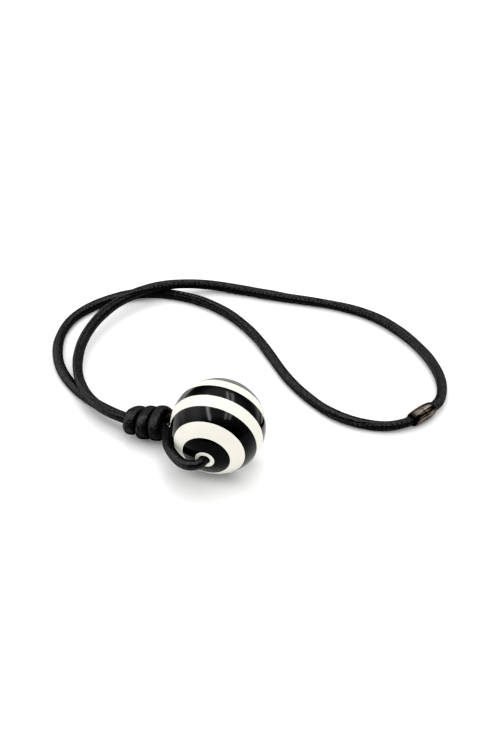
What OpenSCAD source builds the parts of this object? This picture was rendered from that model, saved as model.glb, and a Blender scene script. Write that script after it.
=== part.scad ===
// Leather cord necklace as it lies on a flat surface. One long round cord is
// doubled through a large banded ball, wrapped with a three-turn knot and
// closed by a small barrel clasp. Millimetres.
// The origin is the point that the ball rests on, +Z is up, and -Y is the side
// that the front mouth of the ball's hole looks to.

/* [Cord] */
// Diameter of the round cord
cord_d = 5; // [4.6:0.1:5]
// Diameter that the cord is squeezed to inside the ball and the clasp
squeezed_d = 4.6; // [4:0.1:4.7]

/* [Ball] */
// Diameter of the ball
ball_d = 48; // [47:0.5:48]
// Diameter of the hole through the ball
hole_d = 5.8; // [5.7:0.1:7]
// How far the hole's front mouth dips below level, in degrees
hole_dip = 6.1; // [0:0.1:6.1]
// How far the hole's front mouth is turned from -Y toward -X, in degrees
hole_turn = 16.2; // [14:0.1:18]
// How deep the dark bands are let into the ball
band_depth = 1; // [0.6:0.1:3]
// Gap between a band and the ball under it and beside it
band_gap = 0.05; // [0.03:0.01:0.1]

/* [Knot] */
// Middle of the knot: right, away from the viewer and up
knot_middle = [-35.1, 20.7, 8.08];
// Turns that the wrapping cord makes
knot_turns = 3; // [2:1:3]
// Distance from one turn to the next along the knot
turn_pitch = 6.4; // [6.3:0.1:7]
// Gap left between neighbouring turns
turn_gap = 0.3; // [0.05:0.05:0.6]
// Thickness of a turn, pulled tight
turn_t = 4.3; // [4:0.1:4.3]
// How much straighter the turns cross the near side than the far side
turn_lean = 1.2; // [1:0.1:1.2]
// Direction of the knot's axis at its middle, in degrees from +X
knot_direction = -17; // [-18:0.5:-16]
// Rise of the knot's axis toward the ball, in degrees
knot_slope = 8.5; // [8:0.5:9]
// Radius that the knot's axis bends at
knot_bend_r = 70; // [65:1:90]

/* [Clasp] */
// Length of the closed clasp
clasp_l = 14.6; // [14:0.1:15]
// Diameter at the middle
clasp_d = 8.2; // [8:0.1:8.4]
// Diameter at the two mouths
clasp_mouth_d = 7; // [6.8:0.1:7.2]
// Diameter of the sockets that hold the cord's ends
socket_d = 5.4; // [5.3:0.1:5.6]
// Depth of each socket
socket_depth = 5.2; // [4.8:0.1:6]
// Gap left at the seam between the two halves
seam_gap = 0.1; // [0.05:0.05:0.2]
// Middle of the clasp: right and away from the viewer
clasp_middle = [103.5, 32];
// Width of the bevels on the clasp's edges
clasp_bevel = 0.3; // [0.2:0.05:0.4]
// Share of each half's length that is a full cylinder
clasp_barrel = 0.45; // [0.35:0.05:0.6]
// Direction of the clasp's axis, in degrees from +X
clasp_direction = 42; // [41:0.5:43]

/* [Hidden] */
round_fn = 96;
sides = 10;
ball_r = ball_d / 2;
ball_middle = [0, 0, ball_r];
up = [0, 0, 1];

// Each dark band's two edges, in degrees from the front pole of the ball
FROM = 0;
TO = 1;
BANDS = [
    [12, 30.5],
    [50, 69],
    [84.5, 101.5],
    [117, 135],
    [152.5, 168]
];

// The two strands inside the knot lie side by side, this far from its axis
strand_offset = 2.62;
// Free space between the strands and the turns around them
turn_clearance = 0.48;
// How quickly a turn passes from one strand over to the other
turn_steepness = 2.5;
// The wrapping cord starts and ends this far, in degrees, past the underside
turn_tuck = 22.5;
turn_steps = 16;
// The pair of strands lies almost level at the knot's right end and rolls more
// and more toward its left end, over this length
roll_right = -2;
roll_more = 34;
roll_l = 18.6;
// The knot's axis bends toward the rear and up, this many degrees above level
knot_bend_tilt = 50;

function unit(v) = v / norm(v);

// The knot's axis is an arc, measured by the distance s from its middle
KNOT_AHEAD = [
    cos(knot_direction) * cos(knot_slope), sin(knot_direction) * cos(knot_slope),
    sin(knot_slope)];
KNOT_REAR = [-sin(knot_direction), cos(knot_direction), 0];
KNOT_BEND = KNOT_REAR * cos(knot_bend_tilt)
    + cross(KNOT_AHEAD, KNOT_REAR) * sin(knot_bend_tilt);
function knot_angle(s) = s / knot_bend_r * 180 / PI;
function knot_axis(s) = knot_middle + knot_bend_r
    * (KNOT_AHEAD * sin(knot_angle(s)) + KNOT_BEND * (1 - cos(knot_angle(s))));
function knot_along(s) =
    KNOT_AHEAD * cos(knot_angle(s)) + KNOT_BEND * sin(knot_angle(s));

// Directions across the pair of strands, toward the rear one, and square to it
function knot_roll(s) = roll_right + roll_more * pow(max(0, 0.5 - s / roll_l), 2);
function knot_level(s) = unit(cross(up, knot_along(s)));
function knot_across(s) = knot_level(s) * cos(knot_roll(s))
    - cross(knot_along(s), knot_level(s)) * sin(knot_roll(s));
function knot_raised(s) = cross(knot_along(s), knot_across(s));

// Middle of one of the two strands inside the knot
function strand(s, side) = knot_axis(s) + side * strand_offset * knot_across(s);

// Guide points of the cord's three stretches. Inside the knot they are places
// along its axis, and there the stretches meet end to end at its middle.
NEAR = -1;
REAR = 1;
LEFT_GUIDES = [-11, -7.5];
right_guide = 7;
joint_step = 3.5;
// The front run goes from the clasp's left half around the near side and the
// outer left of the neck loop.
FRONT_RUN = [
    [101.5, 30.2, 4.1], [98, 26.9, 4.15], [94.3, 24.9, 3.7], [86, 23.6, 2.8],
    [77, 25, 2.5], [66.9, 28.3, 2.5], [57, 34.7, 2.5], [48.2, 44, 2.5],
    [40.2, 54.6, 2.5], [33.6, 65.6, 2.5], [27.7, 79.4, 2.5], [20.9, 93.6, 2.5],
    [12.3, 107.1, 2.5], [1.7, 118.7, 2.5], [-10.9, 127.4, 2.5], [-24.5, 132.4, 2.5],
    [-38.5, 134.5, 2.5], [-52.1, 131.7, 2.5], [-66.2, 124.7, 2.5], [-78.3, 114, 2.5],
    [-84.6, 99.3, 2.5], [-85.8, 84, 2.5], [-82.9, 68.2, 2.5], [-74.3, 53.2, 2.6],
    [-64, 41, 3.8], [-54.5, 31.6, 5.6],
    for (s = LEFT_GUIDES) strand(s, REAR),
    strand(0, REAR) - joint_step * knot_along(0), strand(0, REAR)
];
// The back run leaves the knot above the front run, crosses over it at the top
// of the loop and goes around the far side to the clasp's right half.
BACK_RUN = [
    strand(0, NEAR), strand(0, NEAR) - joint_step * knot_along(0),
    for (i = [len(LEFT_GUIDES) - 1:-1:0]) strand(LEFT_GUIDES[i], NEAR),
    [-56, 26.6, 9.4], [-66, 37.5, 8.8], [-72.5, 52.6, 8.2], [-74.5, 70, 6.7], [-73, 85.4, 7.4],
    [-67, 100.8, 8.7], [-57.5, 115.8, 8.8], [-45, 127.5, 8.2], [-31, 134.2, 7.9],
    [-17, 137.7, 6.2], [-3, 139.5, 3.4], [11, 136.5, 2.5], [25, 132.2, 2.5],
    [40, 128.5, 2.5], [55, 125.2, 2.5], [69, 120.7, 2.5], [82.1, 113.8, 2.5],
    [93.9, 102.7, 2.5], [103.7, 89.9, 2.5], [111.4, 75.4, 2.5], [115.7, 60.1, 2.6],
    [115.1, 47.6, 3.3], [112.4, 39.9, 4], [108.8, 36.8, 4.1], [105.4, 33.7, 4.1]
];
// The bead loop leaves the knot, passes in front of the ball, goes through it
// and comes back behind it.
BEAD_LOOP = [
    strand(0, NEAR), strand(0, NEAR) + joint_step * knot_along(0),
    strand(right_guide, NEAR),
    [-27.1, 13.4, 10.3], [-26.1, 7.6, 11.9], [-25.6, 1.3, 14.1], [-25.4, -5.8, 16.9],
    [-24, -12.1, 18.5], [-21.5, -17.8, 19], [-17, -23.8, 19],
    [-11.3, -26.4, 20.9], [-7.1, -24.5, 21.2], [-4.7, -16, 22.2], [-2.4, -8, 23.1],
    [0, 0, 24], [2.4, 8, 24.9], [4.7, 16, 25.8], [7, 24, 26.7],
    [5.6, 29, 26.1], [1.3, 31.8, 24], [-3.9, 31.8, 21], [-10, 29.5, 17.3],
    [-16.2, 26.2, 15], [-20.6, 22.9, 13.6], [-24.2, 21.2, 11.5],
    strand(right_guide, REAR),
    strand(0, REAR) + joint_step * knot_along(0), strand(0, REAR)
];

// One place of the smooth curve that guide points lead, for each of them
function guide(route, i) =
    i < 0 ? 2 * route[0] - route[1]
    : i == len(route) ? 2 * route[i - 1] - route[i - 2]
    : route[i];
function smooth(route) =
    [for (i = [0:len(route) - 1])
        (guide(route, i - 1) + 4 * guide(route, i) + guide(route, i + 1)) / 6];

// Direction of that curve at the same place
function heading(route, i) = unit(guide(route, i + 1) - guide(route, i - 1));

// Corners of one ring, with its thickness along outward and its width across
function ring(centre, ahead, outward, width, thickness) =
    let (across = unit(cross(outward, ahead)), raised = cross(ahead, across))
    [for (k = [0:sides - 1])
        let (a = 90 + 360 * k / sides)
        centre + across * cos(a) * width / 2 + raised * sin(a) * thickness / 2];

// A closed tube through rings that all have the same number of sides
module tube(rings) {
    last = (len(rings) - 1) * sides;
    walls = [for (i = [0:len(rings) - 2], k = [0:sides - 1])
        let (a = i * sides + k, b = i * sides + (k + 1) % sides)
        each [[a, a + sides, b + sides], [a, b + sides, b]]];
    start_cap = [for (k = [0:sides - 1]) k];
    end_cap = [for (k = [sides - 1:-1:0]) last + k];
    polyhedron([for (r = rings) each r], concat([start_cap], walls, [end_cap]));
}

module cord(route, widths) {
    centres = smooth(route);
    tube([for (i = [0:len(centres) - 1])
        ring(centres[i], heading(route, i), up, widths[i], widths[i])]);
}

// One place on the wrapping cord, by its angle from the knot's underside
function turn_place(angle) =
    turn_pitch * (angle / 360 - knot_turns / 2) + turn_lean * cos(angle);
function turn_outward(angle) =
    let (s = turn_place(angle))
    knot_raised(s) * sin(angle - 90) - knot_across(s) * cos(angle - 90);
function turn_centre(angle) =
    let (
        s = turn_place(angle),
        r = cord_d / 2 + turn_clearance + turn_t / 2,
        shift = strand_offset * max(-1, min(1, turn_steepness * cos(angle - 90)))
    )
    knot_axis(s) + r * turn_outward(angle) - shift * knot_across(s);
function turn_heading(angle) = unit(turn_centre(angle + 1) - turn_centre(angle - 1));
// The turns are as wide as the room between their neighbours on both sides
function turn_width(angle) = norm(cross(
    turn_heading(angle),
    turn_centre(angle + 360) - turn_centre(angle - 360))) / 2 - turn_gap;

module ball_blank() {
    rotate_extrude($fn = round_fn)
        intersection() {
            circle(r = ball_r, $fn = round_fn);
            translate([0, -ball_r]) square([ball_r, ball_d]);
        }
}

// A ring around the hole's axis, between two angles from the front pole. Its
// sides point at the ball's middle.
module band_ring(band, outer_r, depth, gap) {
    spread = gap / ball_r * 180 / PI;
    reach = ball_d;
    rotate_extrude($fn = round_fn)
        intersection() {
            difference() {
                circle(r = outer_r, $fn = round_fn);
                circle(r = ball_r - depth, $fn = round_fn);
            }
            polygon([[0, 0],
                for (a = [band[FROM] - spread, band[TO] + spread])
                    reach * [sin(a), cos(a)]]);
        }
}

// Turns the ball's front pole from +Z to where the hole's mouth looks
module place_ball() {
    translate(ball_middle) rotate([0, 90 + hole_dip, 270 - hole_turn]) children();
}

module ball() {
    color("ivory") place_ball() difference() {
        ball_blank();
        cylinder(d = hole_d, h = ball_d + 2, center = true, $fn = round_fn);
        for (band = BANDS)
            band_ring(band, ball_r + 1, band_depth + band_gap, band_gap);
    }
}

module black_band(band) {
    color([0.03, 0.03, 0.035]) place_ball()
        band_ring(band, ball_r, band_depth, 0);
}

module cord_front_run() {
    color([0.11, 0.1, 0.1])
        cord(FRONT_RUN, [for (i = [1:len(FRONT_RUN)]) i == 1 ? squeezed_d : cord_d]);
}

module cord_back_run() {
    count = len(BACK_RUN);
    color([0.11, 0.1, 0.1])
        cord(BACK_RUN, [for (i = [1:count]) i == count ? squeezed_d : cord_d]);
}

module bead_loop() {
    color([0.11, 0.1, 0.1])
        cord(BEAD_LOOP, [for (p = smooth(BEAD_LOOP))
            norm(p - ball_middle) < ball_r + cord_d / 2 ? squeezed_d : cord_d]);
}

module knot() {
    step = 360 / turn_steps;
    first = turn_tuck;
    last = 360 * knot_turns - turn_tuck;
    color([0.1, 0.09, 0.09])
        tube([for (a = [first:step:last])
            ring(turn_centre(a), turn_heading(a), turn_outward(a), turn_width(a), turn_t)]);
}

// One half of the barrel clasp, with its mouth at the far end of +X
module clasp_half() {
    half_l = clasp_l / 2;
    rotate([0, 90, 0]) rotate_extrude($fn = round_fn)
        polygon([
            [0, seam_gap / 2], [clasp_d / 2 - clasp_bevel, seam_gap / 2],
            [clasp_d / 2, seam_gap / 2 + clasp_bevel],
            [clasp_d / 2, half_l * clasp_barrel],
            [clasp_mouth_d / 2, half_l - clasp_bevel],
            [clasp_mouth_d / 2 - clasp_bevel, half_l],
            [socket_d / 2, half_l], [socket_d / 2, half_l - socket_depth],
            [0, half_l - socket_depth]
        ]);
}

module place_clasp(turn) {
    translate([clasp_middle.x, clasp_middle.y, clasp_d / 2])
        rotate([0, 0, clasp_direction + turn]) children();
}

module clasp_half_left() {
    color([0.36, 0.35, 0.34]) place_clasp(180) clasp_half();
}

module clasp_half_right() {
    color([0.36, 0.35, 0.34]) place_clasp(0) clasp_half();
}

ball();
for (i = [0:len(BANDS) - 1])
    black_band(BANDS[i]);
cord_front_run();
cord_back_run();
bead_loop();
knot();
clasp_half_left();
clasp_half_right();
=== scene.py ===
"""Leather cord necklace with a large banded ball, lying on a pale floor. Metres."""
import math

import bmesh
import bpy
from mathutils import Matrix, Vector


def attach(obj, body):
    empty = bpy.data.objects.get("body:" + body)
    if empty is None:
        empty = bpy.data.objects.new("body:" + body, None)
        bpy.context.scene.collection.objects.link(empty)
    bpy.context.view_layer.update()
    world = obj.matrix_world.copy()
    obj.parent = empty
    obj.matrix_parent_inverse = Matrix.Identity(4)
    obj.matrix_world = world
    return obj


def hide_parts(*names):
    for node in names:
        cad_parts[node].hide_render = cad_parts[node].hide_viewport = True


UP = Vector((0, 0, 1))

# Camera
CAMERA_PLACE = (0.015834, -1.056203, 0.943279)
CAMERA_DROP = math.radians(40)
CAMERA_LENS = 134.96
CAMERA_REACH = 20

# Cord
CORD_R = 0.0025
SQUEEZED_R = 0.0023
RING_STEP = 0.0011
SPAN_STEPS = 40
# Where it opens from the squeezed to the full radius: height over the ball's
# surface, and distance from the clasp
FREE_OF_BALL = (-0.004, -0.001)
FREE_OF_CLASP = (0.003, 0.006)
RIPPLE_HEIGHT = 0.00003
RIPPLE_RATE = 310

# Raised seam along the cord: angles are in degrees from the seam's middle
SEAM_HEIGHT = 0.00026
SEAM_GROOVE = 0.00022
SEAM_SLIT = 0.5 * SEAM_HEIGHT
SLIT_EDGE = (0, 5)
RIDGE_EDGE = (13, 21)
GROOVE_START = (18, 24)
GROOVE_END = (24, 36)
# Places around the cord that a ring has points at, closest together on the seam
ONE_SIDE = (4, 9, 14, 18, 22, 26, 31, 40, 52, 67, 85, 105, 127, 152)
RING_PLACES = (0, *ONE_SIDE, 180, *(-degrees for degrees in reversed(ONE_SIDE)))
STITCH_PITCH = 0.002
STITCH_SIZE = (0.0014, 0.00065, 0.0004)
STITCH_LIFT = 0.55 * SEAM_HEIGHT
STITCH_SLANT = math.radians(9)
STITCH_SEGMENTS = 8
STITCH_RINGS = 5

# Ball, its hole and its bands: edges in degrees from the front pole
BALL_R = 0.024
BALL_MIDDLE = Vector((0, 0, BALL_R))
HOLE_R = 0.0026
HOLE_DIP = 6.1
HOLE_TURN = 16.2
LIP_WIDTH = 0.0008
LIP_STEPS = 6
BAND_DEPTH = 0.001
BAND_GAP = 0.00005
BANDS = ((12, 30.5), (50, 69), (84.5, 101.5), (117, 135), (152.5, 168))
ARC_STEP = 1.5
BALL_SIDES = 160

# Knot: a cord wound three turns around the two strands
KNOT_MIDDLE = Vector((-0.0351, 0.0207, 0.00808))
KNOT_DIRECTION = math.radians(-17)
KNOT_SLOPE = math.radians(8.5)
KNOT_BEND_R = 0.07
KNOT_BEND_TILT = math.radians(50)
KNOT_TURNS = 3
TURN_PITCH = 0.0064
TURN_T = 0.0044
TURN_LEAN = 0.0012
TURN_CLEARANCE = 0.00048
TURN_STEEPNESS = 2.5
TURN_TUCK = 22.5
TURN_SQUARENESS = 2.5
# The winding's tucked ends start at this size and grow over so many degrees
TURN_END_SIZE, TURN_END_GROWTH = 0.8, 0.2
TURN_END_REACH = 60
WINDING_STEP = 5
WINDING_SIDES = 40
STRAND_OFFSET = 0.00262
ROLL_RIGHT = math.radians(-2)
ROLL_MORE = math.radians(34)
ROLL_L = 0.0186
JOINT_STEP = 0.0035
LEFT_GUIDES = (-0.011, -0.0075)
RIGHT_GUIDE = 0.007
NEAR, REAR = -1, 1

# Clasp
CLASP_MIDDLE = Vector((0.1035, 0.032, 0.0041))
CLASP_DIRECTION = math.radians(42)
CLASP_L = 0.0146
CLASP_R = 0.0041
CLASP_MOUTH_R = 0.0035
SOCKET_R = 0.0027
SOCKET_DEPTH = 0.0052
CLASP_GAP = 0.0001
CLASP_SIDES = 64

# Guide points of the free cord, the same as the solids follow
FRONT_GUIDES = (
    (0.1015, 0.0302, 0.0041), (0.098, 0.0269, 0.00415), (0.0943, 0.0249, 0.0037),
    (0.086, 0.0236, 0.0028), (0.077, 0.025, 0.0025), (0.0669, 0.0283, 0.0025),
    (0.057, 0.0347, 0.0025), (0.0482, 0.044, 0.0025), (0.0402, 0.0546, 0.0025),
    (0.0336, 0.0656, 0.0025), (0.0277, 0.0794, 0.0025), (0.0209, 0.0936, 0.0025),
    (0.0123, 0.1071, 0.0025), (0.0017, 0.1187, 0.0025), (-0.0109, 0.1274, 0.0025),
    (-0.0245, 0.1324, 0.0025), (-0.0385, 0.1345, 0.0025), (-0.0521, 0.1317, 0.0025),
    (-0.0662, 0.1247, 0.0025), (-0.0783, 0.114, 0.0025), (-0.0846, 0.0993, 0.0025),
    (-0.0858, 0.084, 0.0025), (-0.0829, 0.0682, 0.0025), (-0.0743, 0.0532, 0.0026),
    (-0.064, 0.041, 0.0038), (-0.0545, 0.0316, 0.0056),
)
BACK_GUIDES = (
    (-0.056, 0.0266, 0.0094), (-0.066, 0.0375, 0.0088), (-0.0725, 0.0526, 0.0082),
    (-0.0745, 0.07, 0.0067), (-0.073, 0.0854, 0.0074), (-0.067, 0.1008, 0.0087),
    (-0.0575, 0.1158, 0.0088), (-0.045, 0.1275, 0.0082), (-0.031, 0.1342, 0.0079),
    (-0.017, 0.1377, 0.0062), (-0.003, 0.1395, 0.0034), (0.011, 0.1365, 0.0025),
    (0.025, 0.1322, 0.0025), (0.04, 0.1285, 0.0025), (0.055, 0.1252, 0.0025),
    (0.069, 0.1207, 0.0025), (0.0821, 0.1138, 0.0025), (0.0939, 0.1027, 0.0025),
    (0.1037, 0.0899, 0.0025), (0.1114, 0.0754, 0.0025), (0.1157, 0.0601, 0.0026),
    (0.1151, 0.0476, 0.0033), (0.1124, 0.0399, 0.004), (0.1088, 0.0368, 0.0041),
    (0.1054, 0.0337, 0.0041),
)
BEAD_GUIDES = (
    (-0.0271, 0.0134, 0.0103), (-0.0261, 0.0076, 0.0119), (-0.0256, 0.0013, 0.0141),
    (-0.0254, -0.0058, 0.0169), (-0.024, -0.0121, 0.0185), (-0.0215, -0.0178, 0.019),
    (-0.017, -0.0238, 0.019), (-0.0113, -0.0264, 0.0209), (-0.0071, -0.0245, 0.0212),
    (-0.0047, -0.016, 0.0222), (-0.0024, -0.008, 0.0231), (0, 0, 0.024),
    (0.0024, 0.008, 0.0249), (0.0047, 0.016, 0.0258), (0.007, 0.024, 0.0267),
    (0.0056, 0.029, 0.0261), (0.0013, 0.0318, 0.024), (-0.0039, 0.0318, 0.021),
    (-0.01, 0.0295, 0.0173), (-0.0162, 0.0262, 0.015), (-0.0206, 0.0229, 0.0136),
    (-0.0242, 0.0212, 0.0115),
)

# Where the cord's seam faces: distance from the clasp, and degrees from the top
# toward the left of the way the cord runs
SEAM_FACES = (
    (0.0, 40), (0.02, 42), (0.036, 84), (0.055, 115), (0.105, 112), (0.127, 28),
    (0.15, 22), (0.19, 6), (0.235, -70), (0.3, -120), (0.36, -110), (0.44, -95),
    (0.5, -80), (0.525, -30), (0.545, 0), (0.575, 38), (0.63, 20), (0.68, -60),
    (0.74, -44), (0.8, -60), (0.88, -70),
)
# How much thicker the leather is than its usual radius: distance and metres
UNEVEN = (
    (0.0, 0), (0.02, 0.0001), (0.037, 0.0002), (0.065, 0), (0.1, -0.00005),
    (0.12, 0.0001), (0.15, 0.0002), (0.2, 0.0001), (0.23, 0), (0.253, -0.00015),
    (0.27, 0.00015), (0.285, 0.0001), (0.33, 0.0001), (0.36, 0), (0.58, 0.0001),
    (0.6, 0.0003), (0.655, 0.0003), (0.685, 0), (0.71, 0.0002), (0.73, 0.0002),
    (0.745, 0), (0.765, -0.00015), (0.785, 0.0001), (0.805, 0.00025),
    (0.825, 0.00018), (0.85, 0.00027), (0.875, 0), (0.89, 0),
)

# Strength of the white dome, and the tones of the room that polished surfaces
# mirror: axis of the direction, its range and the tones at the range's ends.
# They add up, and the last one dims the front of the room
DOME_STRENGTH = 1.48
ROOM_TONES = (("Z", 0.25, 0.92, 0.0, 2.35), ("Y", 0.2, 0.9, 0.0, 0.3),
              ("X", -0.95, -0.4, 2.3, 0.0), ("X", 0.5, 0.95, 0.0, 1.2))
ROOM_FRONT = ("Y", -0.9, -0.35, 0.15, 1.0)
# Lamps that only light: name, place, the point that they face, size and power
LAMPS = (("key", (0.0, 0.95, 1.25), (0, 0.05, 0), (1.0, 0.6), 5.2),
         ("overhead", (0, 0, 1.35), (0, 0, 0), (2.0, 1.8), 7))
# Long lamps overhead that are only mirrored: name, middle, size and power
STRIP_HEIGHT = 1.25
STRIPS = (("strip_left", (-0.51, 0.0), (0.14, 1.8), 6.5),
          ("strip_right", (0.45, 0.2), (0.12, 2.0), 3.2),
          ("strip_far_right", (0.73, 0.2), (0.16, 2.0), 3.6))
# How the camera shows dark tones: light in, and tone out
DARK_TONES = ((0.02, 0.002), (0.04, 0.0065), (0.07, 0.036), (0.12, 0.088),
              (0.5, 0.481))

# Colours, as a darker and a lighter tone
LEATHER = ((0.0003, 0.0003, 0.0003), (0.009, 0.0087, 0.0085))
THREAD = ((0.004, 0.004, 0.004), (0.05, 0.048, 0.047))
IVORY = ((0.675, 0.66, 0.592), (0.705, 0.69, 0.627))
BLACK = ((0.0005, 0.0005, 0.0006), (0.002, 0.002, 0.0022))
# Clasp plating, dark to lighter in brushed streaks: partly wear, partly painted
# highlight streaks
PLATING_WEAR_AND_PAINTED_HIGHLIGHT = ((0.014, 0.0122, 0.0106), (0.165, 0.146, 0.127))
# Painted shade: the dark tone the plating takes at the clasp's two mouths
PAINTED_MOUTH_SHADE = (0.02, 0.018, 0.016)
FLOOR = ((0.9, 0.9, 0.9), (0.92, 0.92, 0.92))
# How fine the wrinkles are along and around the cord, how fine the brushing is
# along and across the clasp, and where painted shade darkens the plating toward a mouth
WRINKLES = (34, 9, 1)
BRUSHING = (60, 900, 900)
MOUTH_SHADE_SPAN = (0.0045, 0.007)

# Mesh and scene
SHARP_ANGLE = math.radians(40)
MERGE_WITHIN = 1e-7
FLOOR_REACH = 3.0
ALL_COLOURS_CURVE = 3
# Sockets of the Mix node that share their names, by number
MIX_COLOURS, MIXED_COLOUR = (6, 7), 2
MIX_NUMBERS, MIXED_NUMBER = (2, 3), 0


def smooth_step(low, high, value):
    t = min(1, max(0, (value - low) / (high - low)))
    return t * t * (3 - 2 * t)


def look_up(table, place):
    """A value of a two-column table, eased between its rows."""
    for (a, start), (b, end) in zip(table, table[1:]):
        if place <= b:
            return start + (end - start) * smooth_step(a, b, place)
    return table[-1][1]


# Curves


def knot_frame(s):
    """Place on the knot's axis at s from its middle, with the directions along
    it, across the pair of strands toward the rear one, and square to both."""
    ahead = Vector((
        math.cos(KNOT_DIRECTION) * math.cos(KNOT_SLOPE),
        math.sin(KNOT_DIRECTION) * math.cos(KNOT_SLOPE), math.sin(KNOT_SLOPE)))
    rear = Vector((-math.sin(KNOT_DIRECTION), math.cos(KNOT_DIRECTION), 0))
    bend = (rear * math.cos(KNOT_BEND_TILT)
            + ahead.cross(rear) * math.sin(KNOT_BEND_TILT))
    a = s / KNOT_BEND_R
    place = KNOT_MIDDLE + KNOT_BEND_R * (
        ahead * math.sin(a) + bend * (1 - math.cos(a)))
    along = ahead * math.cos(a) + bend * math.sin(a)
    level = UP.cross(along).normalized()
    roll = ROLL_RIGHT + ROLL_MORE * max(0, 0.5 - s / ROLL_L) ** 2
    across = level * math.cos(roll) - along.cross(level) * math.sin(roll)
    return place, along, across, along.cross(across)


def strand(s, side):
    """Middle of one of the two strands inside the knot."""
    place, _, across, _ = knot_frame(s)
    return place + side * STRAND_OFFSET * across


def smooth_curve(guides):
    """Points and directions along the smooth curve that guide points lead."""
    p = [Vector(g) for g in guides]
    p = [2 * p[0] - p[1], *p, 2 * p[-1] - p[-2]]
    places = [(i, k / SPAN_STEPS)
              for i in range(1, len(p) - 2) for k in range(SPAN_STEPS)]
    places.append((len(p) - 3, 1.0))
    for i, t in places:
        a, b, c, d = p[i - 1], p[i], p[i + 1], p[i + 2]
        centre = ((1 - t) ** 3 * a + (3 * t**3 - 6 * t * t + 4) * b
                  + (3 * t + 3 * t * t - 3 * t**3 + 1) * c + t**3 * d) / 6
        ahead = (-((1 - t) ** 2) * a + (3 * t * t - 4 * t) * b
                 + (1 + 2 * t - 3 * t * t) * c + t * t * d) / 2
        yield centre, ahead.normalized()


def cord_route():
    """The whole cord as even steps of (distance, centre, ahead)."""
    step = JOINT_STEP * knot_frame(0)[1]
    near, rear = strand(0, NEAR), strand(0, REAR)
    front = [*FRONT_GUIDES, *(strand(s, REAR) for s in LEFT_GUIDES), rear - step,
             rear]
    loop = [rear, rear + step, strand(RIGHT_GUIDE, REAR), *reversed(BEAD_GUIDES),
            strand(RIGHT_GUIDE, NEAR), near + step, near]
    back = [near, near - step, *(strand(s, NEAR) for s in reversed(LEFT_GUIDES)),
            *BACK_GUIDES]
    fine = list(smooth_curve(front))
    for stretch in (loop, back):
        fine += list(smooth_curve(stretch))[1:]
    steps = [(0.0, *fine[0])]
    run = 0.0
    for (a, _), (b, ahead) in zip(fine, fine[1:]):
        run += (b - a).length
        if run - steps[-1][0] >= RING_STEP:
            b.z = max(b.z, cord_radius(b, run))
            steps.append((run, b, ahead))
    steps[-1] = (run, *fine[-1])
    return steps


def outward(ahead, degrees):
    """Direction out of a cord, turned from its top toward the left of its way."""
    left = UP.cross(ahead).normalized()
    top = ahead.cross(left)
    a = math.radians(degrees)
    return left * math.sin(a) + top * math.cos(a)


def seam_relief(degrees):
    """How far the surface stands out, by the angle from the seam's middle."""
    off = abs(degrees)
    ridge = SEAM_HEIGHT * (1 - smooth_step(*RIDGE_EDGE, off))
    slit = SEAM_SLIT * (1 - smooth_step(*SLIT_EDGE, off))
    groove = (SEAM_GROOVE * smooth_step(*GROOVE_START, off)
              * (1 - smooth_step(*GROOVE_END, off)))
    return ridge - slit - groove


def cord_radius(centre, run):
    """Full in the open, squeezed inside the ball and the clasp's sockets."""
    height = (centre - BALL_MIDDLE).length - BALL_R
    free = min(smooth_step(*FREE_OF_BALL, height), smooth_step(*FREE_OF_CLASP, run))
    uneven = look_up(UNEVEN, run) + RIPPLE_HEIGHT * math.sin(run * RIPPLE_RATE)
    return SQUEEZED_R + (CORD_R - SQUEEZED_R + uneven) * free


# Meshes


def show(thing):
    """Puts an object into the scene."""
    bpy.context.scene.collection.objects.link(thing)


def add_piece(name, mesh, material):
    piece = bpy.data.objects.new(name, mesh)
    show(piece)
    mesh.materials.append(material)
    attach(piece, "root")
    return piece


def mend(mesh, merge_within=0):
    """Turns all faces outward, after merging points closer than a distance."""
    bm = bmesh.new()
    bm.from_mesh(mesh)
    if merge_within:
        bmesh.ops.remove_doubles(bm, verts=bm.verts, dist=merge_within)
    bmesh.ops.recalc_face_normals(bm, faces=bm.faces)
    bm.to_mesh(mesh)
    bm.free()


def tube(name, rings, lengths, material):
    """A closed tube through rings of points. Its UV runs along and around it."""
    count = len(rings[0])
    wall = [(i * count + k, (i + 1) * count + k, (i + 1) * count + (k + 1) % count,
             i * count + (k + 1) % count)
            for i in range(len(rings) - 1) for k in range(count)]
    last = (len(rings) - 1) * count
    caps = [tuple(range(count)), tuple(range(last + count - 1, last - 1, -1))]
    mesh = bpy.data.meshes.new(name)
    mesh.from_pydata([p for ring in rings for p in ring], [], wall + caps)
    around = 2 * math.pi * CORD_R
    uv = mesh.uv_layers.new(name="along_and_around")
    for face in mesh.polygons:
        in_wall = face.index < len(wall)
        closes_ring = in_wall and face.index % count == count - 1
        face.use_smooth = in_wall
        for corner, vertex in zip(face.loop_indices, face.vertices):
            i, k = divmod(vertex, count)
            if closes_ring and k == 0:
                k = count
            uv.data[corner].uv = (lengths[i] / around, k / count)
    mend(mesh)
    return add_piece(name, mesh, material)


def lathe(name, outline, place, sides, material):
    """Turns a closed outline of (along, radius) around +Z, then places it."""
    count = len(outline)
    points = []
    for k in range(sides):
        a = 2 * math.pi * k / sides
        points += [Vector((r * math.cos(a), r * math.sin(a), z)) for z, r in outline]
    faces = [(k * count + i, k * count + (i + 1) % count,
              (k + 1) % sides * count + (i + 1) % count, (k + 1) % sides * count + i)
             for k in range(sides) for i in range(count)]
    mesh = bpy.data.meshes.new(name)
    mesh.from_pydata(points, [], faces)
    mend(mesh, MERGE_WITHIN)
    mesh.transform(place)
    mesh.shade_smooth()
    mesh.set_sharp_from_angle(angle=SHARP_ANGLE)
    return add_piece(name, mesh, material)


# Cord, stitches and knot


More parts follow.
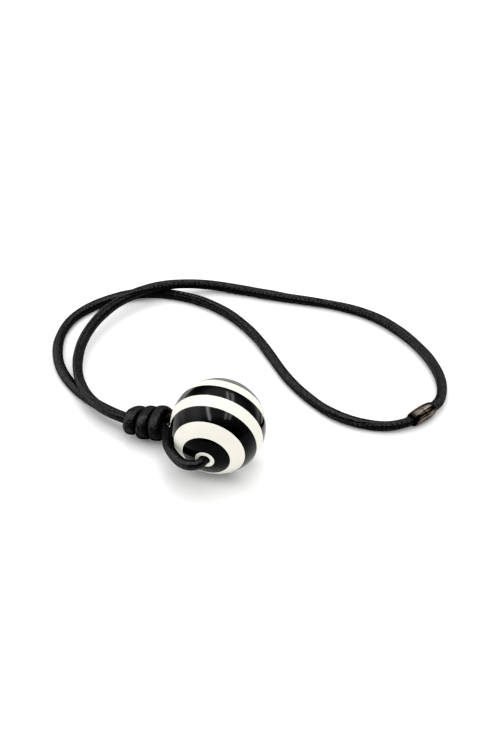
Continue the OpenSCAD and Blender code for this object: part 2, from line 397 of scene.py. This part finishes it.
def make_cord(leather):
    route = cord_route()
    rings = []
    for run, centre, ahead in route:
        seam = look_up(SEAM_FACES, run)
        r = cord_radius(centre, run)
        rings.append([centre + outward(ahead, seam + d) * (r + seam_relief(d))
                      for d in RING_PLACES])
    cord = tube("leather_cord", rings, [step[0] for step in route], leather)
    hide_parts("cord_front_run", "cord_back_run", "bead_loop")
    return cord, route


def unit_ball(segments, rings):
    """Points and faces of a ball of radius 1, from its top to its bottom."""
    points = [Vector((0, 0, 1))]
    for i in range(1, rings):
        down = math.pi * i / rings
        for k in range(segments):
            a = 2 * math.pi * k / segments
            points.append(Vector((math.sin(down) * math.cos(a),
                                  math.sin(down) * math.sin(a), math.cos(down))))
    points.append(Vector((0, 0, -1)))
    bottom = len(points) - 1
    faces = []
    for k in range(segments):
        beside = (k + 1) % segments
        faces.append((0, 1 + k, 1 + beside))
        for first in range(1, bottom - segments, segments):
            below = first + segments
            faces.append((first + k, below + k, below + beside, first + beside))
        faces.append((bottom, bottom - segments + beside, bottom - segments + k))
    return points, faces


def make_stitches(route, thread):
    """A row of short stitches over the cord's seam."""
    ball_points, ball_faces = unit_ball(STITCH_SEGMENTS, STITCH_RINGS)
    size = Matrix.Diagonal((*[s / 2 for s in STITCH_SIZE], 1))
    slant = Matrix.Rotation(STITCH_SLANT, 4, "Z")
    points, faces = [], []
    due = STITCH_PITCH
    for run, centre, ahead in route:
        inside = (centre - BALL_MIDDLE).length < BALL_R
        if run < due or inside:
            continue
        due = run + STITCH_PITCH
        out = outward(ahead, look_up(SEAM_FACES, run))
        side = out.cross(ahead)
        r = cord_radius(centre, run) + STITCH_LIFT
        turn = Matrix((ahead, side, out)).transposed().to_4x4()
        place = Matrix.Translation(centre + out * r) @ turn @ slant @ size
        faces += [[len(points) + i for i in face] for face in ball_faces]
        points += [place @ point for point in ball_points]
    mesh = bpy.data.meshes.new("cord_stitches")
    mesh.from_pydata(points, [], faces)
    mend(mesh)
    mesh.shade_smooth()
    stitches = add_piece("cord_stitches", mesh, thread)
    return stitches


def turn_frame(degrees):
    """Centre and outward direction of the wrapping cord, from the underside."""
    a = math.radians(degrees)
    place, _, across, raised = knot_frame(
        TURN_PITCH * (degrees / 360 - KNOT_TURNS / 2) + TURN_LEAN * math.cos(a))
    out = -raised * math.cos(a) - across * math.sin(a)
    r = CORD_R + TURN_CLEARANCE + TURN_T / 2
    shift = STRAND_OFFSET * max(-1, min(1, TURN_STEEPNESS * math.sin(a)))
    return place + out * r - across * shift, out


def squared_circle(a):
    """Distance from the middle to a circle of radius 1 that is a little square."""
    power = TURN_SQUARENESS
    return (abs(math.cos(a)) ** power + abs(math.sin(a)) ** power) ** (-1 / power)


def make_knot(leather):
    rings, lengths = [], []
    run = 0.0
    before = None
    angle = TURN_TUCK
    last = 360 * KNOT_TURNS - TURN_TUCK
    while angle <= last:
        centre, out = turn_frame(angle)
        ahead = (turn_frame(angle + 1)[0] - turn_frame(angle - 1)[0]).normalized()
        room = turn_frame(angle + 360)[0] - turn_frame(angle - 360)[0]
        width = ahead.cross(room).length / 2
        end = smooth_step(0, TURN_END_REACH, min(angle - TURN_TUCK, last - angle))
        side = out.cross(ahead).normalized()
        top = ahead.cross(side)
        run += (centre - before).length if before else 0
        before = centre
        lengths.append(run)
        ring = []
        for k in range(WINDING_SIDES):
            a = 2 * math.pi * k / WINDING_SIDES
            size = squared_circle(a) * (TURN_END_SIZE + TURN_END_GROWTH * end) / 2
            ring.append(centre + side * math.cos(a) * size * width
                        + top * math.sin(a) * size * TURN_T)
        rings.append(ring)
        angle += WINDING_STEP
    knot = tube("wrapped_knot", rings, lengths, leather)
    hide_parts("knot")
    return knot


# Ball


def ball_place():
    turn = (Matrix.Rotation(math.radians(270 - HOLE_TURN), 4, "Z")
            @ Matrix.Rotation(math.radians(90 + HOLE_DIP), 4, "Y"))
    return Matrix.Translation(BALL_MIDDLE) @ turn


def on_ball(degrees, r=BALL_R):
    a = math.radians(degrees)
    return r * math.cos(a), r * math.sin(a)


def arc_on_ball(start, end, r=BALL_R):
    steps = max(2, round(abs(end - start) / ARC_STEP))
    return [on_ball(start + (end - start) * i / steps, r) for i in range(steps + 1)]


def hole_lip(degrees, side):
    """Rounds the ball's surface into the hole, at the front (1) or back (-1)."""
    z, r = on_ball(degrees)
    corner = (side * math.sqrt(BALL_R**2 - HOLE_R**2), HOLE_R)
    end = (corner[0] - side * (r - HOLE_R), HOLE_R)
    lip = []
    for i in range(1, LIP_STEPS + 1):
        t = i / LIP_STEPS
        lip.append(tuple((1 - t) ** 2 * a + 2 * t * (1 - t) * b + t * t * c
                         for a, b, c in zip((z, r), corner, end)))
    return lip


def make_ball(ivory):
    depth = BALL_R - BAND_DEPTH - BAND_GAP
    spread = math.degrees(BAND_GAP / BALL_R)
    mouth = math.degrees(math.asin((HOLE_R + LIP_WIDTH) / BALL_R))
    outline = list(reversed(hole_lip(mouth, 1)))
    start = mouth
    for low, high in BANDS:
        outline += arc_on_ball(start, low - spread)
        outline += arc_on_ball(low - spread, high + spread, depth)
        start = high + spread
    outline += arc_on_ball(start, 180 - mouth)
    outline += hole_lip(180 - mouth, -1)
    ball = lathe("ball_body", outline, ball_place(), BALL_SIDES, ivory)
    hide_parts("ball")


def make_band(index, black):
    low, high = BANDS[index]
    outline = arc_on_ball(low, high) + arc_on_ball(high, low, BALL_R - BAND_DEPTH)
    band = lathe(f"band_{index + 1}", outline, ball_place(), BALL_SIDES, black)
    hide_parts(f"black_band_{index + 1}")


# Clasp


def make_clasp_half(side, turn, metal):
    """A barrel half: its seam edge, its belly, its rounded mouth, its socket."""
    half = CLASP_L / 2
    low = CLASP_GAP / 2
    outline = [
        (low, 0), (low, CLASP_R - 0.0003), (low + 0.00005, CLASP_R - 0.00012),
        (low + 0.00015, CLASP_R - 0.00002), (low + 0.0003, CLASP_R),
        (half * 0.25, CLASP_R - 0.00001), (half * 0.45, CLASP_R - 0.00006),
        (half * 0.65, CLASP_R - 0.0002), (half * 0.82, CLASP_R - 0.00038),
        (half * 0.93, CLASP_MOUTH_R + 0.00006),
        (half * 0.97, CLASP_MOUTH_R - 0.00004), (half - 0.0001, CLASP_MOUTH_R - 0.0002),
        (half, CLASP_MOUTH_R - 0.0004), (half - 0.0001, SOCKET_R + 0.00008),
        (half - 0.0004, SOCKET_R), (half - SOCKET_DEPTH, SOCKET_R),
        (half - SOCKET_DEPTH, 0),
    ]
    place = (Matrix.Translation(CLASP_MIDDLE)
             @ Matrix.Rotation(CLASP_DIRECTION + turn, 4, "Z")
             @ Matrix.Rotation(math.radians(90), 4, "Y"))
    clasp = lathe(f"clasp_{side}", outline, place, CLASP_SIDES, metal)
    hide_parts(f"clasp_half_{side}")
    return clasp


# Materials


class Nodes:
    """A node tree that is filled one node at a time."""

    def __init__(self, tree):
        self.tree = tree

    def add(self, kind, inputs=(), **settings):
        node = self.tree.nodes.new(kind)
        for name, value in settings.items():
            setattr(node, name, value)
        for name, value in dict(inputs).items():
            if isinstance(value, bpy.types.NodeSocket):
                self.tree.links.new(value, node.inputs[name])
            else:
                node.inputs[name].default_value = value
        return node


def new_material(name):
    """A material, its nodes, and the place on the object that they start from."""
    material = bpy.data.materials.new(name)
    material.use_nodes = True
    material.node_tree.nodes.clear()
    nodes = Nodes(material.node_tree)
    return material, nodes, nodes.add("ShaderNodeTexCoord").outputs["Object"]


def add_shader(nodes, inputs):
    shader = nodes.add("ShaderNodeBsdfPrincipled", inputs)
    nodes.add("ShaderNodeOutputMaterial", {"Surface": shader.outputs["BSDF"]})


def mix_colours(nodes, factor, first, second):
    """Blends two colours, each an RGB or another node's output."""
    inputs = {"Factor": factor}
    for socket, colour in zip(MIX_COLOURS, (first, second)):
        is_output = isinstance(colour, bpy.types.NodeSocket)
        inputs[socket] = colour if is_output else (*colour, 1)
    return nodes.add("ShaderNodeMix", inputs, data_type="RGBA").outputs[MIXED_COLOUR]


def leather_material():
    """Pebbled and finely wrinkled across the cord, worn paler in patches."""
    material, nodes, place = new_material("black_leather")
    pebbles = nodes.add("ShaderNodeTexVoronoi", {"Vector": place, "Scale": 900.0},
                        feature="SMOOTH_F1")
    patches = nodes.add("ShaderNodeTexNoise", {
        "Vector": place, "Scale": 650.0, "Detail": 3.0, "Roughness": 0.65})
    along = nodes.add("ShaderNodeVectorMath", {
        0: nodes.add("ShaderNodeTexCoord").outputs["UV"], 1: WRINKLES},
        operation="MULTIPLY")
    wrinkles = nodes.add("ShaderNodeTexNoise", {
        "Vector": along.outputs["Vector"], "Scale": 1.0, "Detail": 3.0,
        "Roughness": 0.6})
    wear = nodes.add("ShaderNodeMapRange", {
        "Value": patches.outputs["Fac"], "From Min": 0.4, "From Max": 0.65})
    polished = nodes.add("ShaderNodeMapRange", {
        "Value": pebbles.outputs["Distance"], "From Max": 0.6, "To Min": 0.2,
        "To Max": 0.34})
    facing = nodes.add("ShaderNodeLayerWeight", {"Blend": 0.5})
    rim = nodes.add("ShaderNodeMapRange", {
        "Value": facing.outputs["Facing"], "From Min": 0.25, "From Max": 0.75,
        "To Max": 0.55})
    rough = nodes.add("ShaderNodeMath", {
        0: polished.outputs["Result"], 1: rim.outputs["Result"]}, operation="ADD")
    grain = nodes.add("ShaderNodeBump", {
        "Height": pebbles.outputs["Distance"], "Strength": 1.0, "Distance": 0.00025},
        invert=True)
    fine = nodes.add("ShaderNodeBump", {
        "Height": wrinkles.outputs["Fac"], "Normal": grain.outputs["Normal"],
        "Strength": 1.0, "Distance": 0.0005})
    add_shader(nodes, {
        "Base Color": mix_colours(nodes, wear.outputs["Result"], *LEATHER),
        "Roughness": rough.outputs["Value"], "Normal": fine.outputs["Normal"],
        "Specular IOR Level": 0.39})
    return material


def thread_material():
    """Twisted black thread."""
    material, nodes, place = new_material("black_thread")
    twist = nodes.add("ShaderNodeTexWave", {
        "Vector": place, "Scale": 1500.0, "Distortion": 2.0})
    add_shader(nodes, {
        "Base Color": mix_colours(nodes, twist.outputs["Fac"], *THREAD),
        "Roughness": 0.5})
    return material


def polished_material(name, colours, clouds, waves, wave_strength, roughness):
    """Glossy, with clouds in its colour and polish, and shallow waves in its face.
    Clouds are given as scale, detail and roughness, and waves as their scale."""
    material, nodes, place = new_material(name)
    scale, detail, contrast = clouds
    cloudy = nodes.add("ShaderNodeTexNoise", {
        "Vector": place, "Scale": scale, "Detail": detail, "Roughness": contrast})
    wavy = nodes.add("ShaderNodeTexNoise", {
        "Vector": place, "Scale": waves, "Detail": 2.0})
    face = nodes.add("ShaderNodeBump", {
        "Height": wavy.outputs["Fac"], "Strength": wave_strength,
        "Distance": 0.0002})
    rough = nodes.add("ShaderNodeMapRange", {
        "Value": cloudy.outputs["Fac"], "To Min": roughness[0],
        "To Max": roughness[1]})
    add_shader(nodes, {
        "Base Color": mix_colours(nodes, cloudy.outputs["Fac"], *colours),
        "Roughness": rough.outputs["Result"], "Normal": face.outputs["Normal"],
        "Specular IOR Level": 0.28})
    return material


def ivory_material():
    return polished_material("glossy_ivory", IVORY, (90.0, 5.0, 0.55), 500.0, 0.04,
                             (0.16, 0.26))


def black_material():
    return polished_material("glossy_black", BLACK, (140.0, 4.0, 0.5), 420.0, 0.05,
                             (0.08, 0.18))


def metal_material():
    """Dark plating brushed along the clasp, worn lighter in streaks that are partly
    painted highlights, and darkened by painted shade toward the two mouths."""
    material, nodes, place = new_material("dark_nickel")
    along = nodes.add("ShaderNodeMapping", {
        "Vector": place, "Location": CLASP_MIDDLE,
        "Rotation": (0, 0, CLASP_DIRECTION)}, vector_type="TEXTURE")
    stretched = nodes.add("ShaderNodeVectorMath", {
        0: along.outputs["Vector"], 1: BRUSHING}, operation="MULTIPLY")
    brushed = nodes.add("ShaderNodeTexNoise", {
        "Vector": stretched.outputs["Vector"], "Scale": 1.0, "Detail": 3.0})
    # Lighter brushed streaks: partly worn plating, partly painted highlight
    worn = nodes.add("ShaderNodeMapRange", {
        "Value": brushed.outputs["Fac"], "From Min": 0.46, "From Max": 0.62})
    plating = mix_colours(nodes, worn.outputs["Result"], *PLATING_WEAR_AND_PAINTED_HIGHLIGHT)
    parts = nodes.add("ShaderNodeSeparateXYZ", {"Vector": along.outputs["Vector"]})
    far = nodes.add("ShaderNodeMath", {0: parts.outputs["X"]}, operation="ABSOLUTE")
    # Painted shade: the plating darkens toward each mouth over this span from the
    # middle
    end = nodes.add("ShaderNodeMapRange", {
        "Value": far.outputs["Value"], "From Min": MOUTH_SHADE_SPAN[0],
        "From Max": MOUTH_SHADE_SPAN[1]})
    rough = nodes.add("ShaderNodeMapRange", {
        "Value": brushed.outputs["Fac"], "To Min": 0.34, "To Max": 0.16})
    add_shader(nodes, {
        "Base Color": mix_colours(nodes, end.outputs["Result"], plating,
                                  PAINTED_MOUTH_SHADE),
        "Metallic": 1.0, "Roughness": rough.outputs["Result"]})
    return material


def floor_material():
    material, nodes, place = new_material("white_floor")
    tone = nodes.add("ShaderNodeTexNoise", {"Vector": place, "Scale": 4.0})
    add_shader(nodes, {
        "Base Color": mix_colours(nodes, tone.outputs["Fac"], *FLOOR),
        "Roughness": 0.9, "Specular IOR Level": 0.1})
    return material


# Camera, floor and light


def make_camera():
    data = bpy.data.cameras.new("camera")
    data.lens = CAMERA_LENS
    data.clip_end = CAMERA_REACH
    camera = bpy.data.objects.new("camera", data)
    camera.location = CAMERA_PLACE
    camera.rotation_euler = (math.pi / 2 - CAMERA_DROP, 0, 0)
    show(camera)
    bpy.context.scene.camera = camera


def make_floor(material):
    mesh = bpy.data.meshes.new("floor")
    far = FLOOR_REACH
    mesh.from_pydata([(-far, -far, 0), (far, -far, 0), (far, far, 0), (-far, far, 0)],
                     [], [(0, 1, 2, 3)])
    floor = bpy.data.objects.new("floor", mesh)
    mesh.materials.append(material)
    show(floor)


def make_light(name, place, aim, size, watts, mirrored):
    """An area lamp that is either only mirrored or only lights."""
    data = bpy.data.lights.new(name, "AREA")
    data.shape = "RECTANGLE"
    data.size, data.size_y = size
    data.energy = watts
    light = bpy.data.objects.new(name, data)
    light.location = place
    direction = Vector(aim) - Vector(place)
    light.rotation_euler = direction.to_track_quat("-Z", "Y").to_euler()
    light.visible_glossy = mirrored
    light.visible_diffuse = not mirrored
    show(light)


def make_world():
    """An even white dome. Polished surfaces mirror a darker room instead, that
    is pale overhead, behind and at both sides, and dark in front."""
    world = bpy.data.worlds.new("studio")
    world.use_nodes = True
    world.node_tree.nodes.clear()
    nodes = Nodes(world.node_tree)
    toward = nodes.add("ShaderNodeTexCoord").outputs["Generated"]
    parts = nodes.add("ShaderNodeSeparateXYZ", {"Vector": toward}).outputs

    def tone(axis, start, end, low, high):
        return nodes.add("ShaderNodeMapRange", {
            "Value": parts[axis], "From Min": start, "From Max": end, "To Min": low,
            "To Max": high}, interpolation_type="SMOOTHSTEP").outputs["Result"]

    def combine(operation, first, second):
        return nodes.add("ShaderNodeMath", {0: first, 1: second},
                         operation=operation).outputs["Value"]

    room = tone(*ROOM_TONES[0])
    for more in ROOM_TONES[1:]:
        room = combine("ADD", room, tone(*more))
    room = combine("MULTIPLY", room, tone(*ROOM_FRONT))
    strength = nodes.add("ShaderNodeMix", {
        "Factor": nodes.add("ShaderNodeLightPath").outputs["Is Glossy Ray"],
        MIX_NUMBERS[0]: DOME_STRENGTH, MIX_NUMBERS[1]: room})
    light = nodes.add("ShaderNodeBackground", {
        "Strength": strength.outputs[MIXED_NUMBER]})
    nodes.add("ShaderNodeOutputWorld", {"Surface": light.outputs["Background"]})
    bpy.context.scene.world = world


def make_studio():
    make_world()
    for name, place, aim, size, watts in LAMPS:
        make_light(name, place, aim, size, watts, False)
    for name, (x, y), size, watts in STRIPS:
        make_light(name, (x, y, STRIP_HEIGHT), (x, y, 0), size, watts, True)
    view = bpy.context.scene.view_settings
    view.view_transform = "Standard"
    view.look = "None"
    view.use_curve_mapping = True
    tones = view.curve_mapping.curves[ALL_COLOURS_CURVE].points
    for light, tone in DARK_TONES:
        tones.new(light, tone)
    view.curve_mapping.update()


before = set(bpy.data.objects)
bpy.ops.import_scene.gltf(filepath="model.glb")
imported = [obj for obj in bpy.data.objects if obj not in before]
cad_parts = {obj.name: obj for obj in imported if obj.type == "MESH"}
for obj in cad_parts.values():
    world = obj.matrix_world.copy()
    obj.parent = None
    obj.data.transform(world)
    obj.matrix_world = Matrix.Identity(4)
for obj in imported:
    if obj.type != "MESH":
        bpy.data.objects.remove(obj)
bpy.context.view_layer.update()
make_camera()
leather = leather_material()
cord, route = make_cord(leather)
knot = make_knot(leather)
stitches = make_stitches(route, thread_material())
metal = metal_material()
clasp_left = make_clasp_half("left", math.pi, metal)
clasp_right = make_clasp_half("right", 0, metal)
tuple(route[0][1])
[tuple(centre) for _, centre, _ in route]
make_ball(ivory_material())
gloss = black_material()
for band_index in range(len(BANDS)):
    make_band(band_index, gloss)
make_floor(floor_material())
make_studio()
